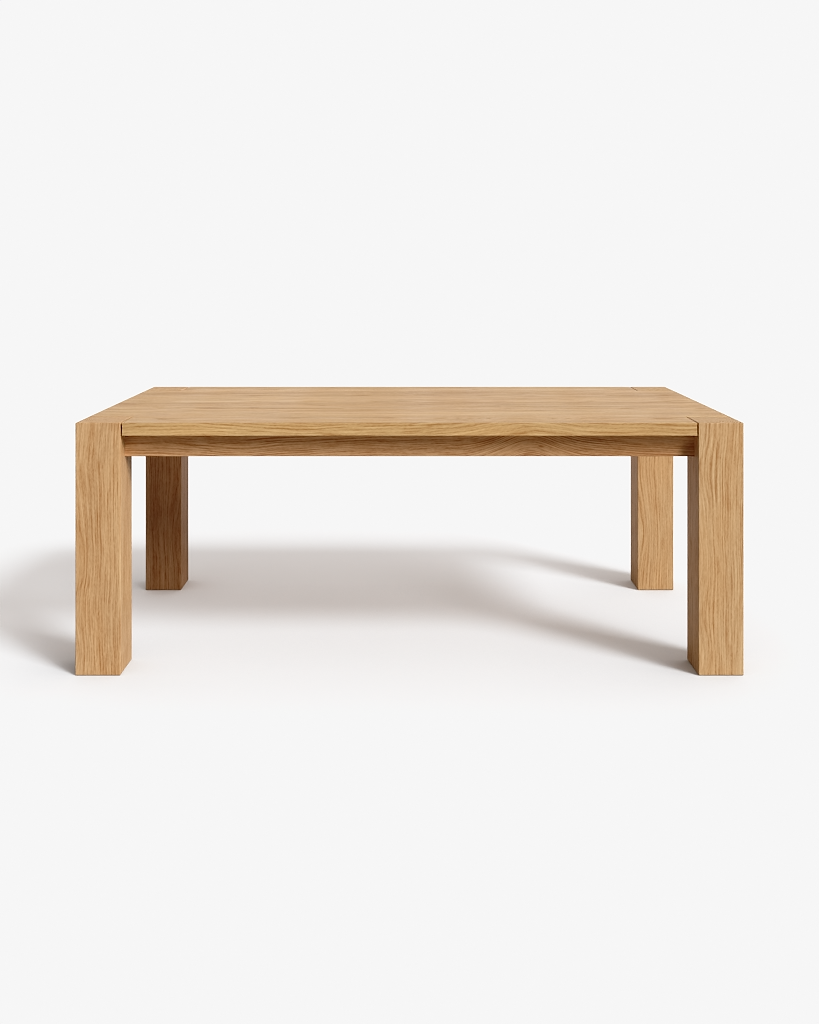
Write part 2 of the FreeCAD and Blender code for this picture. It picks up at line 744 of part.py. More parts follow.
ALONG = FreeCAD.Rotation(V(0, 0, 1), V(1, 1, 0))


def on_diagonal(distance, row):
    """A point on a hanger bolt's axis, that far from the outer corner of the leg."""
    d = size(distance) * ROOT_HALF
    return (d - HALF_LENGTH, d - HALF_DEPTH, APRON_UNDER + row)


BRACKET_FACE = (reach + a) * ROOT_HALF + t
bolts, washers, nuts = [], [], []
for name, row in (("low", D["fix_low"]), ("high", D["fix_high"])):
    d = D["bolt_diameter"]
    start, stop = D["bolt_start"], D["bolt_start"] + D["bolt_length"]
    bolts.append(fuse("bolt_" + name, [
        cone("bolt_tip_" + name, d * 0.3, d, 5, *on_diagonal(start, row), rotation=ALONG),
        cylinder("bolt_shank_" + name, d, D["bolt_length"] - 6, *on_diagonal(start + 5, row),
                 rotation=ALONG),
        cone("bolt_end_" + name, d, d - 1.6, 1, *on_diagonal(stop - 1, row), rotation=ALONG),
    ]))
    washers.append(cut(
        "washer_" + name,
        cylinder("washer_disc_" + name, D["washer_diameter"], D["washer_thick"],
                 *on_diagonal(BRACKET_FACE, row), rotation=ALONG),
        cylinder("washer_hole_" + name, d + 0.6, D["washer_thick"] + 2,
                 *on_diagonal(BRACKET_FACE - 1, row), rotation=ALONG)))
    seat = BRACKET_FACE + D["washer_thick"]
    over = D["nut_flats"] * 2 / math.sqrt(3)
    barrel = fuse("nut_barrel_" + name, [
        cone("nut_foot_" + name, D["nut_flats"] - 0.4, over + 0.4, 1.1, *on_diagonal(seat, row),
             rotation=ALONG),
        cylinder("nut_waist_" + name, over + 0.4, D["nut_high"] - 2.2,
                 *on_diagonal(seat + 1.1, row), rotation=ALONG),
        cone("nut_head_" + name, over + 0.4, D["nut_flats"] - 0.4, 1.1,
             *on_diagonal(seat + D["nut_high"] - 1.1, row), rotation=ALONG),
    ])
    shaped = doc.addObject("Part::Common", "nut_shaped_" + name)
    shaped.Base = hexagon("nut_hexagon_" + name, D["nut_flats"], D["nut_high"],
                          *on_diagonal(seat, row), rotation=ALONG)
    shaped.Tool = barrel
    nuts.append(cut("nut_" + name, shaped,
                    cylinder("nut_bore_" + name, d + 0.1, D["nut_high"] + 2,
                             *on_diagonal(seat - 1, row), rotation=ALONG)))
keep(at_four_corners("hanger_bolts", bolts))
keep(at_four_corners("bolt_washers", washers))
keep(at_four_corners("bolt_nuts", nuts))

# ---------------------------------------------------------------- bracket screws and dowels

screws, dowels = [], []
for name, row in (("low", D["fix_low"]), ("high", D["fix_high"])):
    z = APRON_UNDER + row
    across, along = a + t, D["wing_screw"]
    screws.append(pan_screw("wing_screw_long_" + name, "-y", along - HALF_LENGTH,
                            across - HALF_DEPTH, z, D["wing_screw_diameter"],
                            D["wing_screw_length"], 9.0, 3.2))
    screws.append(pan_screw("wing_screw_side_" + name, "-x", across - HALF_LENGTH,
                            along - HALF_DEPTH, z, D["wing_screw_diameter"],
                            D["wing_screw_length"], 9.0, 3.2))
    first = D["leg_side"] - D["dowel_length"] / 2
    for which, way in (("long", "+x"), ("side", "+y")):
        pieces = []
        for part, ahead in (("start", size(0)), ("shank", size(1.5)),
                            ("end", D["dowel_length"] - 1.5)):
            if which == "long":
                x, y = first + ahead, APRON_MIDDLE
            else:
                x, y = APRON_MIDDLE, first + ahead
            place = (x - HALF_LENGTH, y - HALF_DEPTH, z)
            label = "dowel_%s_%s_%s" % (which, part, name)
            full = D["dowel_diameter"]
            if part == "start":
                pieces.append(cone(label, full - 2, full, 1.5, *place, rotation=AXIS_TO[way]))
            elif part == "end":
                pieces.append(cone(label, full, full - 2, 1.5, *place, rotation=AXIS_TO[way]))
            else:
                pieces.append(cylinder(label, full, D["dowel_length"] - 3, *place,
                                       rotation=AXIS_TO[way]))
        dowels.append(fuse("dowel_%s_%s" % (which, name), pieces))
keep(at_four_corners("bracket_screws", screws))
keep(at_four_corners("apron_dowels", dowels))

# ---------------------------------------------------------------- buttons and their screws

BUTTON_TOP = TOP_UNDER - 1
TONGUE_TOP = TOP_UNDER - D["button_slot_drop"]
BUTTON_LOW = BUTTON_TOP - D["button_high"]


def box(name, x, y, z, long, wide, high):
    b = doc.addObject("Part::Box", name)
    bind(b, "Length", long)
    bind(b, "Width", wide)
    bind(b, "Height", high)
    put(b, x, y, z)
    return b


def button(name, place, along_x):
    """An oak button and its screw: place is its middle along the apron."""
    inner = APRON_INNER
    start = place - D["button_long"] / 2
    tongue_from = inner - (D["button_slot_deep"] - 1)
    blocks = []
    for part, c, z, wide, high in (
            ("block", inner + D["button_gap"], BUTTON_LOW, D["button_wide"], D["button_high"]),
            ("tongue", tongue_from, TONGUE_TOP - D["button_tongue"],
             D["button_slot_deep"] - 1 + D["button_gap"] + 1, D["button_tongue"])):
        if along_x:
            blocks.append(box(name + "_" + part, start, c - HALF_DEPTH, z, D["button_long"], wide,
                              high))
        else:
            blocks.append(box(name + "_" + part, c - HALF_LENGTH, start, z, wide,
                              D["button_long"], high))
    whole = fuse(name + "_whole", blocks)
    if along_x:
        x, y = size(place), BUTTON_MIDDLE - HALF_DEPTH
    else:
        x, y = BUTTON_MIDDLE - HALF_LENGTH, size(place)
    hole = cylinder(name + "_hole", D["top_screw_diameter"] + 0.5, D["button_high"] + 4, x, y,
                    BUTTON_LOW - 2)
    screw = pan_screw(name + "_screw", "+z", x, y, BUTTON_LOW, D["top_screw_diameter"],
                      D["top_screw_length"], 9.5, 3.2)
    return cut(name, whole, hole), screw


front_pairs = [button("button_long_%d" % k, x, True) for k, x in enumerate(LONG_BUTTONS)]
left_pairs = [button("button_side_%d" % k, y, False) for k, y in enumerate(SIDE_BUTTONS)]
for label, which in (("top_buttons", 0), ("button_screws", 1)):
    fronts = group(label + "_front", [pair[which] for pair in front_pairs])
    lefts = group(label + "_left", [pair[which] for pair in left_pairs])
    keep(group(label, [fronts, mirrored(label + "_rear", fronts, ACROSS_Y),
                       lefts, mirrored(label + "_right", lefts, ACROSS_X)]))

# ---------------------------------------------------------------- rail screws

screws, washers = [], []
for number, y in enumerate(RAIL_SCREWS):
    place = (-D["rail_offset"], y - HALF_DEPTH)
    ledge = TOP_UNDER - D["rail_high"] + D["counterbore_deep"]
    name = "rail_screw_%d" % number
    washers.append(cut(
        name + "_washer",
        cylinder(name + "_disc", D["rail_washer"], D["rail_washer_thick"], place[0], place[1],
                 ledge - D["rail_washer_thick"]),
        cylinder(name + "_hole", D["rail_hole"], D["rail_washer_thick"] + 2, place[0], place[1],
                 ledge - D["rail_washer_thick"] - 1)))
    screws.append(pan_screw(name, "+z", place[0], place[1], ledge - D["rail_washer_thick"],
                            D["top_screw_diameter"], D["rail_screw_length"], 9.5, 3.2))
for label, pieces in (("rail_screws", screws), ("rail_washers", washers)):
    lefts = group(label + "_left", pieces)
    keep(group(label, [lefts, mirrored(label + "_right", lefts, ACROSS_X)]))

# ---------------------------------------------------------------- foot glides

glide = new_body("glide_front_left")
LEG_MIDDLE = D["leg_side"] / 2
put(glide, LEG_MIDDLE - HALF_LENGTH, LEG_MIDDLE - HALF_DEPTH, 0)
outline = new_sketch(glide, "XY_Plane")
circle(outline, 0, 0, D["glide_diameter"])
pad(glide, outline, D["glide_thick"])
rims = [k for k, e in enumerate(glide.Tip.Shape.Edges, start=1)
        if isinstance(e.Curve, Part.Circle) and abs(e.Curve.Center.z) < 1e-6]
tip = glide.Tip
feature = glide.newObject("PartDesign::Fillet", "glide_rim")
feature.Base = (tip, ["Edge%d" % k for k in rims])
bind(feature, "Radius", D["glide_round"])
doc.recompute()
# A countersunk hole for the screw, from below.
before = glide.Shape.Volume
centre = new_sketch(glide, "XY_Plane")
circle(centre, 0, 0, D["glide_screw_diameter"] + 0.4)
doc.recompute()
hole = glide.newObject("PartDesign::Hole", "glide_hole")
hole.Profile = centre
doc.recompute()
hole.Threaded = False
hole.DepthType = "ThroughAll"
hole.Diameter = D["glide_screw_diameter"].value + 0.4
hole.HoleCutType = "Countersink"
hole.HoleCutCustomValues = True
hole.HoleCutDiameter = 11.0
hole.HoleCutCountersinkAngle = 90.0
hole.Reversed = True
bind(hole, "Diameter", D["glide_screw_diameter"] + 0.4)
doc.recompute()
if glide.Shape.Volume > before - 50:
    raise RuntimeError("the glide's hole cut nothing")
keep(glide)
right_glide = mirrored("glide_front_right", glide, ACROSS_X)
keep(right_glide)
keep(mirrored("glide_rear_left", glide, ACROSS_Y))
keep(mirrored("glide_rear_right", right_glide, ACROSS_Y))

# A countersunk screw, its head sunk in the glide.
sink = size(0.5)
d = D["glide_screw_diameter"]
x, y = LEG_MIDDLE - HALF_LENGTH, LEG_MIDDLE - HALF_DEPTH
solid = fuse("glide_screw_body", [
    cone("glide_screw_head", d * 2, d, d / 2, x, y, sink),
    cylinder("glide_screw_shank", d, D["glide_screw_length"] - 8 - d / 2, x, y, sink + d / 2),
    cone("glide_screw_tip", d, d * 0.15, 6, x, y, sink + D["glide_screw_length"] - 8),
])
keep(at_four_corners("glide_screws", [
    cut("glide_screw", solid, hexagon("glide_screw_socket", 3.0, 1.8, x, y, sink - 0.3))]))

# ---------------------------------------------------------------- checks and files

doc.recompute()
bad = [o.Name for o in doc.Objects if "Invalid" in o.State or "Error" in o.State]
if bad:
    raise RuntimeError("failed objects: %s" % bad)
labels = [o.Label for o in nodes]
if len(set(labels)) != len(labels):
    raise RuntimeError("two pieces share a name")
for obj in nodes:
    shape = obj.Shape
    if shape.isNull() or not shape.isValid() or not shape.Solids:
        raise RuntimeError("%s has no valid shape" % obj.Label)

os.makedirs("parts", exist_ok=True)
total = 0.0
for obj in nodes:
    shape = obj.Shape
    shape.exportStep(os.path.join("parts", obj.Label + ".step"))
    box_of = shape.BoundBox
    total += shape.Volume
    print("%-28s %2d solids %10.0f mm3  x %8.1f %8.1f  y %8.1f %8.1f  z %7.1f %7.1f" % (
        obj.Label, len(shape.Solids), shape.Volume, box_of.XMin, box_of.XMax, box_of.YMin,
        box_of.YMax, box_of.ZMin, box_of.ZMax))
print("%d nodes, %.4f m3" % (len(nodes), total / 1e9))
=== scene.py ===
import math

import bpy
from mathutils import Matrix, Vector


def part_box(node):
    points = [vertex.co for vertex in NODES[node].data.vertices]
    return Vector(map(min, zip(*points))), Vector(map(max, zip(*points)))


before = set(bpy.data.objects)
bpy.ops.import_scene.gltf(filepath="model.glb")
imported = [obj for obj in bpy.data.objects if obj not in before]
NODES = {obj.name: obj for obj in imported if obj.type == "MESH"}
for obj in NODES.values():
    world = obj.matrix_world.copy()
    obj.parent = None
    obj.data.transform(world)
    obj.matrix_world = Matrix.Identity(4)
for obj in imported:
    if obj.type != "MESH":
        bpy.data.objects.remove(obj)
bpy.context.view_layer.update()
scene = bpy.context.scene


# ------------------------------------------------------------------ camera

def make_camera():
    """Level view straight at the front, with the picture shifted down to the table."""
    cam = bpy.data.cameras.new("camera")
    cam.sensor_fit = "AUTO"
    cam.sensor_width = 36.0
    cam.lens = 36.0 * 1085.4 / 1024.0
    cam.shift_x = 0.0
    cam.shift_y = -(512.0 - 269.4) / 1024.0
    cam.clip_start = 0.05
    cam.clip_end = 200.0
    obj = bpy.data.objects.new("camera", cam)
    obj.location = (0.0, -0.5 - 3.247, 1.216)
    obj.rotation_euler = (math.radians(90), 0, 0)
    scene.collection.objects.link(obj)
    scene.camera = obj


make_camera()


# ------------------------------------------------------------------ node helpers

class Tree:
    """Short hand for building a node tree."""

    def __init__(self, tree):
        self.t = tree
        self.n = tree.nodes
        self.l = tree.links

    def feed(self, socket, value):
        if value is None:
            return
        if isinstance(value, bpy.types.NodeSocket):
            self.l.new(value, socket)
        else:
            socket.default_value = value

    def math(self, op, a, b=None, c=None, clamp=False):
        m = self.n.new("ShaderNodeMath")
        m.operation = op
        m.use_clamp = clamp
        for i, v in enumerate((a, b, c)):
            self.feed(m.inputs[i], v)
        return m.outputs[0]

    def add(self, *values):
        out = values[0]
        for v in values[1:]:
            out = self.math("ADD", out, v)
        return out

    def mul(self, a, b):
        return self.math("MULTIPLY", a, b)

    def vmath(self, op, a, b=None, scale=None):
        m = self.n.new("ShaderNodeVectorMath")
        m.operation = op
        self.feed(m.inputs[0], a)
        self.feed(m.inputs[1], b)
        if scale is not None:
            self.feed(m.inputs["Scale"], scale)
        return m.outputs["Value"] if op in ("LENGTH", "DOT_PRODUCT", "DISTANCE") else m.outputs[0]

    def split(self, v):
        s = self.n.new("ShaderNodeSeparateXYZ")
        self.feed(s.inputs[0], v)
        return s.outputs[0], s.outputs[1], s.outputs[2]

    def join(self, x=0.0, y=0.0, z=0.0):
        c = self.n.new("ShaderNodeCombineXYZ")
        for i, v in enumerate((x, y, z)):
            self.feed(c.inputs[i], v)
        return c.outputs[0]

    def noise(self, vector, scale=1.0, detail=0.0, rough=0.5, dims="3D", color=False, w=None):
        k = self.n.new("ShaderNodeTexNoise")
        k.noise_dimensions = dims
        if dims == "1D":
            self.feed(k.inputs["W"], w)
        else:
            self.feed(k.inputs["Vector"], vector)
        k.inputs["Scale"].default_value = scale
        k.inputs["Detail"].default_value = detail
        k.inputs["Roughness"].default_value = rough
        return k.outputs["Color" if color else "Fac"]

    def grain(self, point, across, along, detail=0.0, rough=0.5, shift=0.0):
        """Noise drawn out along the third axis: across and along are cycles per millimetre."""
        p = self.vmath("MULTIPLY", point, (across, across, along))
        if shift:
            p = self.vmath("ADD", p, (shift, -0.7 * shift, 0.4 * shift))
        return self.noise(p, detail=detail, rough=rough)

    def white(self, w):
        k = self.n.new("ShaderNodeTexWhiteNoise")
        k.noise_dimensions = "1D"
        self.feed(k.inputs["W"], w)
        return k.outputs["Value"]

    def smooth(self, value, low, high, to_low=0.0, to_high=1.0):
        m = self.n.new("ShaderNodeMapRange")
        m.interpolation_type = "SMOOTHSTEP"
        m.clamp = True
        self.feed(m.inputs["Value"], value)
        self.feed(m.inputs["From Min"], low)
        self.feed(m.inputs["From Max"], high)
        self.feed(m.inputs["To Min"], to_low)
        self.feed(m.inputs["To Max"], to_high)
        return m.outputs["Result"]

    def centred(self, value, gain, middle=0.5):
        """gain x (value - middle)"""
        return self.mul(self.math("SUBTRACT", value, middle), gain)

    def mix(self, kind, fac, a, b):
        m = self.n.new("ShaderNodeMix")
        m.data_type = "RGBA"
        m.blend_type = kind
        m.clamp_factor = True
        self.feed(m.inputs[0], fac)
        self.feed(m.inputs[6], a)
        self.feed(m.inputs[7], b)
        return m.outputs[2]

    def ramp(self, fac, stops, kind="LINEAR"):
        r = self.n.new("ShaderNodeValToRGB")
        r.color_ramp.interpolation = kind
        el = r.color_ramp.elements
        while len(el) < len(stops):
            el.new(0.5)
        for e, (p, c) in zip(el, stops):
            e.position = p
            e.color = (c[0], c[1], c[2], 1.0)
        self.feed(r.inputs[0], fac)
        return r.outputs[0]


# ------------------------------------------------------------------ oak

OAK = (0.600, 0.359, 0.182)     # the oiled oak's mean colour, scene linear
TONES = [                       # light to dark wood, as a share of the mean
    (0.00, (1.19, 1.31, 1.41)),
    (0.25, (1.10, 1.165, 1.22)),
    (0.50, (1.00, 1.00, 1.00)),
    (0.80, (0.853, 0.775, 0.695)),
    (1.00, (0.73, 0.58, 0.46)),
]


def oak_material(name, box, along, seed, pith=(0, 60), tilt=(0.0, 0.01), wander=12.0, ring=6.5,
                 tint=(1, 1, 1), shade=0.0, contrast=1.0, rings=0.16, bands=0.75, length=1.0, swirls=(),
                 bow=None, waves=None, marks=(), stripes=(), faces=(), rough=0.5, polish=0.35):
    """One piece's solid oak, cut from its own log. Grain space is in millimetres from the middle
    of box: across, across, along. The rings are cylinders round the pith, a wandering line near
    the grain axis, so that every face of a piece, its ends too, cuts the same log.

    swirls: (centre, reach, push, spread) bends the fibres round a knot.
    bow: (centre, reach, rise) lifts them in one long arch. waves: (period, height) along them.
    marks: (across, half width, along, half length, depth) are dark flecks, on the first axis, or
    on the second one with a true at the end.
    stripes: (across, half width, depth). faces: (side, colour) multiplies the colour of the sides facing one
    way, such as "-y" for the front.
    On the legs it is painted light and shade: sides made lighter, darker or warmer where the light falls on
    them."""
    mat = bpy.data.materials.new(name)
    mat.use_nodes = True
    mat.node_tree.nodes.clear()
    T = Tree(mat.node_tree)
    out = T.n.new("ShaderNodeOutputMaterial")
    bsdf = T.n.new("ShaderNodeBsdfPrincipled")
    T.l.new(bsdf.outputs[0], out.inputs[0])

    coord = T.n.new("ShaderNodeTexCoord")
    low, high = box
    mid = (low + high) * 0.5
    here = T.vmath("SCALE", T.vmath("SUBTRACT", coord.outputs["Object"], tuple(mid)), scale=1000.0)
    x, y, z = T.split(here)
    u, v, w = {"x": (y, z, x), "y": (x, z, y), "z": (x, y, z)}[along]
    P = T.join(u, v, w)

    # The fibres bend: one long arch, slow waves, knots near by, and small ripples.
    if bow:
        d = T.math("DIVIDE", T.math("SUBTRACT", w, bow[0]), bow[1])
        arch = T.math("DIVIDE", bow[2], T.add(1.0, T.mul(d, d)))
        P = T.vmath("SUBTRACT", P, T.join(0.0, arch, 0.0))
    at = P
    for centre, reach, push, spread in swirls:
        off = T.vmath("DIVIDE", T.vmath("SUBTRACT", P, centre), reach)
        bell = T.math("EXPONENT", T.mul(T.vmath("DOT_PRODUCT", off, off), -1.0))
        if any(push):
            at = T.vmath("SUBTRACT", at, T.vmath("SCALE", push, scale=bell))
        if spread:
            aside = T.vmath("MULTIPLY", off, (spread, spread, 0.0))
            at = T.vmath("SUBTRACT", at, T.vmath("SCALE", aside, scale=bell))
    S = T.vmath("ADD", at, seed)
    if waves:
        sway = T.noise(T.vmath("MULTIPLY", S, (0.004, 0.004, 1.0 / waves[0])), color=True)
        at = T.vmath("ADD", at, T.vmath("MULTIPLY", T.vmath("SUBTRACT", sway, (0.5, 0.5, 0.5)),
                                        (3.5 * waves[1], 3.5 * waves[1], 0.0)))
    slow = T.noise(T.vmath("MULTIPLY", S, (0.0032, 0.0032, 0.0030)), detail=1.0, color=True)
    at = T.vmath("ADD", at, T.vmath("MULTIPLY", T.vmath("SUBTRACT", slow, (0.5, 0.5, 0.5)),
                                    (3.0 * wander, 3.0 * wander, 0.0)))
    small = T.noise(T.vmath("MULTIPLY", S, (0.022, 0.022, 0.0085)), detail=1.0, color=True)
    at = T.vmath("ADD", at, T.vmath("MULTIPLY", T.vmath("SUBTRACT", small, (0.5, 0.5, 0.5)),
                                    (5.0, 5.0, 0.0)))
    at = T.vmath("SUBTRACT", at, T.vmath("ADD", T.vmath("SCALE", (tilt[0], tilt[1], 0.0), scale=w),
                                         (pith[0], pith[1], 0.0)))
    Q = T.vmath("ADD", at, seed)

    # Growth rings: wide and narrow years, open early wood, and stretches where they fade.
    ax, ay, _ = T.split(at)
    radius = T.math("SQRT", T.add(T.mul(ax, ax), T.mul(ay, ay)))
    years = T.noise(None, scale=1.0, detail=1.0, dims="1D", w=T.add(T.mul(radius, 0.05), seed[0]))
    count = T.math("DIVIDE", T.add(radius, T.centred(years, 11.0)), ring)
    year = T.math("FLOOR", count)
    part = T.math("SUBTRACT", count, year)
    fate = T.white(T.add(year, seed[0]))
    early = T.mul(T.smooth(part, 0.0, 0.12),
                  T.smooth(part, T.add(0.14, T.mul(fate, 0.12)), 0.66, 1.0, 0.0))
    lines = T.add(T.mul(early, T.add(0.35, T.mul(fate, 0.75))),
                  T.mul(T.math("POWER", part, 3.0), 0.22))
    fade = T.smooth(T.grain(Q, 0.035, 0.0065), 0.34, 0.62, 0.35, 1.35)
    lines = T.mul(T.math("SUBTRACT", lines, 0.27), fade)

    # Fibre: long streaks, short ones and a fine mottle, over broad bands.
    k = 1.0 / length
    fibre = T.add(T.centred(T.grain(Q, 0.235, 0.0021 * k, detail=1.0), 1.05),
                  T.centred(T.grain(Q, 0.265, 0.0060 * k, detail=1.0, shift=17.3), 0.95),
                  T.centred(T.grain(Q, 0.250, 0.0200 * k, shift=31.9), 0.60))
    mottle = T.centred(T.grain(Q, 0.300, 0.0900, shift=47.1), 0.45)
    hair = T.centred(T.grain(Q, 0.900, 0.0140, detail=1.0, rough=0.7, shift=63.7), 0.62)
    broad = T.centred(T.grain(Q, 0.032, 0.0018 * k, detail=1.0, shift=5.7), bands)

    # Open pores, thick in the early wood of each ring; rays run outwards from the pith.
    grit = T.noise(T.vmath("MULTIPLY", Q, (2.1, 2.1, 0.10)), detail=1.0, rough=0.6)
    edge = T.math("SUBTRACT", 0.64, T.mul(early, 0.13))
    pores = T.smooth(grit, edge, T.add(edge, 0.07))
    turn = T.mul(T.math("ARCTAN2", ay, ax), 60.0)
    rays = T.smooth(T.noise(T.join(turn, T.mul(radius, 0.045), T.mul(w, 0.085))), 0.60, 0.72)

    # Dark mineral dashes here and there.
    dash = T.smooth(T.grain(Q, 0.070, 0.0115, shift=71.3), 0.66, 0.80)

    # The cut ends: rings and rays, and no streaks.
    normal = T.split(coord.outputs["Normal"])
    cut_end = T.smooth(T.math("ABSOLUTE", normal["xyz".index(along)]), 0.75, 0.97)
    plain = T.math("SUBTRACT", 1.0, T.mul(cut_end, 0.55))

    dark = T.mul(T.add(fibre, mottle, hair, broad), plain)
    dark = T.mul(T.add(dark, T.mul(lines, rings * 2.0)), contrast)
    dark = T.add(dark, T.mul(pores, 0.26), T.mul(dash, 0.16), T.mul(rays, -0.05), 0.462 + shade)
    for across, half, where, reach, depth, *second in marks:
        a = T.math("DIVIDE", T.math("SUBTRACT", v if second else u, across), half)
        b = T.math("DIVIDE", T.math("SUBTRACT", w, where), reach)
        spot = T.math("EXPONENT", T.mul(T.add(T.mul(a, a), T.mul(b, b)), -1.0))
        dark = T.add(dark, T.mul(spot, depth))
    for across, half, depth in stripes:
        a = T.math("DIVIDE", T.math("SUBTRACT", T.split(T.vmath("SUBTRACT", Q, seed))[0],
                                    across - pith[0]), half)
        dark = T.add(dark, T.mul(T.math("EXPONENT", T.mul(T.mul(a, a), -1.0)), depth))
    colour = T.mix("MULTIPLY", 1.0, T.ramp(dark, TONES),
                   tuple(a * b for a, b in zip(OAK, tint)) + (1,))
    # Slow drift between pinker and yellower oak.
    drift = T.smooth(T.grain(Q, 0.013, 0.0030, detail=1.0, shift=91.7), 0.32, 0.68)
    colour = T.mix("MULTIPLY", 1.0, colour,
                   T.mix("MIX", drift, (1.008, 0.992, 0.972, 1), (0.992, 1.006, 1.025, 1)))
    colour = T.mix("MULTIPLY", cut_end, colour, (1.03, 1.05, 1.05, 1))
    # Side colour factors; on the legs these are painted light and shade.
    for side, cast in faces:
        facing = T.mul(normal["xyz".index(side[1])], float(side[0] + "1"))
        seen = T.smooth(facing, 0.75, 0.97)
        colour = T.mix("MULTIPLY", seen, colour, tuple(cast) + (1,))
    T.l.new(colour, bsdf.inputs["Base Color"])

    # Satin oil: duller in the pores and the early wood, with a patchy hand-rubbed coat.
    patch = T.noise(T.vmath("MULTIPLY", P, (0.011, 0.011, 0.006)), detail=1.0)
    r = T.add(T.mul(pores, 0.16), T.mul(early, 0.05), T.centred(patch, 0.22),
              T.mul(cut_end, 0.10), rough - 0.035)
    T.l.new(r, bsdf.inputs["Roughness"])
    bsdf.inputs["IOR"].default_value = 1.46
    bsdf.inputs["Specular IOR Level"].default_value = polish

    # Pores are open grooves; the soft early wood lies a little lower.
    height = T.add(T.mul(pores, -1.0), T.mul(early, -0.15))
    bump = T.n.new("ShaderNodeBump")
    bump.inputs["Strength"].default_value = 0.35
    bump.inputs["Distance"].default_value = 0.00012
    T.l.new(height, bump.inputs["Height"])
    T.l.new(bump.outputs[0], bsdf.inputs["Normal"])
    return mat


def dress(node, mat):
    obj = NODES[node]
    if not obj.material_slots:
        obj.data.materials.append(mat)
    for slot in obj.material_slots:
        slot.material = mat


# Tabletop: a plank of its own log each.
TOP_TINT = (1.0, 1.003, 0.885)
BOARDS = [
    ("top_board_1_front", 0.01, (30, -75), (0.004, 0.012), 6.5,
     dict(bow=(330, 170, 34), waves=(420, 7), faces=[("-y", (1.045, 1.09, 1.12))], rings=0.17,
          contrast=0.72)),
    ("top_board_2", -0.05, (-140, -40), (0.0, 0.008), 5.5, {}),
    ("top_board_3", 0.00, (10, -55), (-0.006, 0.016), 6.5,
     dict(swirls=[((33, 0, -520), (26, 80, 60), (0, 0, 0), 12.0)],
          marks=[(33, 8, -520, 18, 0.55), (30, 6, -660, 16, 0.4)])),
    ("top_board_4", 0.08, (120, -60), (0.003, 0.010), 5.0, {}),
    ("top_board_5", -0.06, (-20, -90), (0.004, 0.020), 6.0, {}),
    ("top_board_6", -0.03, (90, -30), (-0.003, 0.006), 5.5, {}),
    ("top_board_7", 0.07, (-30, -50), (0.005, -0.014), 6.0,
     dict(swirls=[((-20, 0, 410), (24, 80, 60), (0, 0, 0), 9.0)], marks=[(-20, 5, 410, 14, 0.4)])),
    ("top_board_8", -0.04, (150, -80), (0.002, 0.010), 5.5, {}),
    ("top_board_9_rear", 0.0, (-40, -60), (0.004, 0.014), 6.2, {}),
]
for k, (node, shade, pith, tilt, ring, more) in enumerate(BOARDS):
    seed = (137.0 + 311.0 * k, 71.0 + 173.0 * k, 409.0 + 977.0 * k)
    more = {"rings": 0.16, "bands": 1.1, "length": 1.6, **more}
    dress(node, oak_material("oak_" + node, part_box(node), "x", seed, pith, tilt, 10.0, ring,
                             TOP_TINT, shade, **more))

# Legs: three lamellas each. A knot just off one edge of the broad face bends its fibres.
SWIRLS = {
    "front_left": [((-78, 0, -22), (52, 300, 125), (20, 0, 0), 0.0),
                   ((-74, 0, -306), (46, 300, 66), (15, 0, 0), 0.0),
                   ((-70, 0, 250), (60, 300, 90), (-9, 0, 0), 0.0)],
    "front_right": [((-78, 0, -22), (52, 300, 120), (21, 0, 0), 0.0),
                    ((-72, 0, -300), (46, 300, 70), (14, 0, 0), 0.0),
                    ((-70, 0, 240), (60, 300, 90), (-8, 0, 0), 0.0)],
    "rear_left": [((78, 0, -190), (56, 300, 120), (-22, 0, 0), 0.0),
                  ((70, 0, 60), (50, 300, 90), (9, 0, 0), 0.0)],
    "rear_right": [((-78, 0, -144), (54, 300, 120), (21, 0, 0), 0.0),
                   ((-70, 0, 110), (60, 300, 90), (-8, 0, 0), 0.0)],
}
# The faces entries paint light and shade into chosen sides. Painted shade darkens the front left leg's inner
# side, and painted light brightens the front right leg's front. Painted warm bounce light reddens the shaded
# inner sides of the front right and rear right legs, and the shaded front and inner side of the rear left
# leg.
LEGS = {
    "front_left": dict(contrast=0.88, faces=[("+x", (0.93, 0.95, 0.95))]),
    "front_right": dict(tint=(0.97, 1.005, 1.03), contrast=0.75,
                        faces=[("-y", (1.065, 1.065, 1.05)), ("-x", (1.062, 0.985, 1.0))]),
    "rear_left": dict(contrast=0.90, faces=[("-y", (1.06, 0.97, 1.06)), ("+x", (1.016, 0.926, 1.008))]),
    "rear_right": dict(tint=(0.98, 1.00, 1.00), contrast=0.76, faces=[("-x", (1.05, 0.97, 1.0))]),
}
WANDER = {"front_left": 10.0, "front_right": 7.0, "rear_left": 9.0, "rear_right": 7.0}
for k, place in enumerate(("front_left", "front_right", "rear_left", "rear_right")):
    for m, which in enumerate(("outer", "middle", "inner")):
        node = "leg_%s_%s" % (place, which)
        seed = (53.0 + 431.0 * k + 97.0 * m, 17.0 + 211.0 * k + 331.0 * m, 89.0 + 1511.0 * k + 613.0 * m)
        more = dict(LEGS[place])
        if which == ("outer" if place.startswith("front") else "inner"):
            side = -1 if place == "rear_left" else 1
            pith, tilt, ring = (-85 * side, 52), (0.004 * side, 0.008), 6.8
            more = dict(more, swirls=SWIRLS[place], rings=0.16, stripes=[(14 * side, 6.5, 0.06),
                                                                  (62 * side, 8.0, -0.07)])
        else:
            pith, tilt, ring = ((-60, 70, 20)[m] + 15 * k, (70, 40, -55)[m]), (0.004, 0.012 - 0.004 * m), 5.6
        dress(node, oak_material("oak_" + node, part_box(node), "z", seed, pith, tilt, WANDER[place], ring,
                                 shade=0.02 * ((k + 2 * m) % 3 - 1), **more))

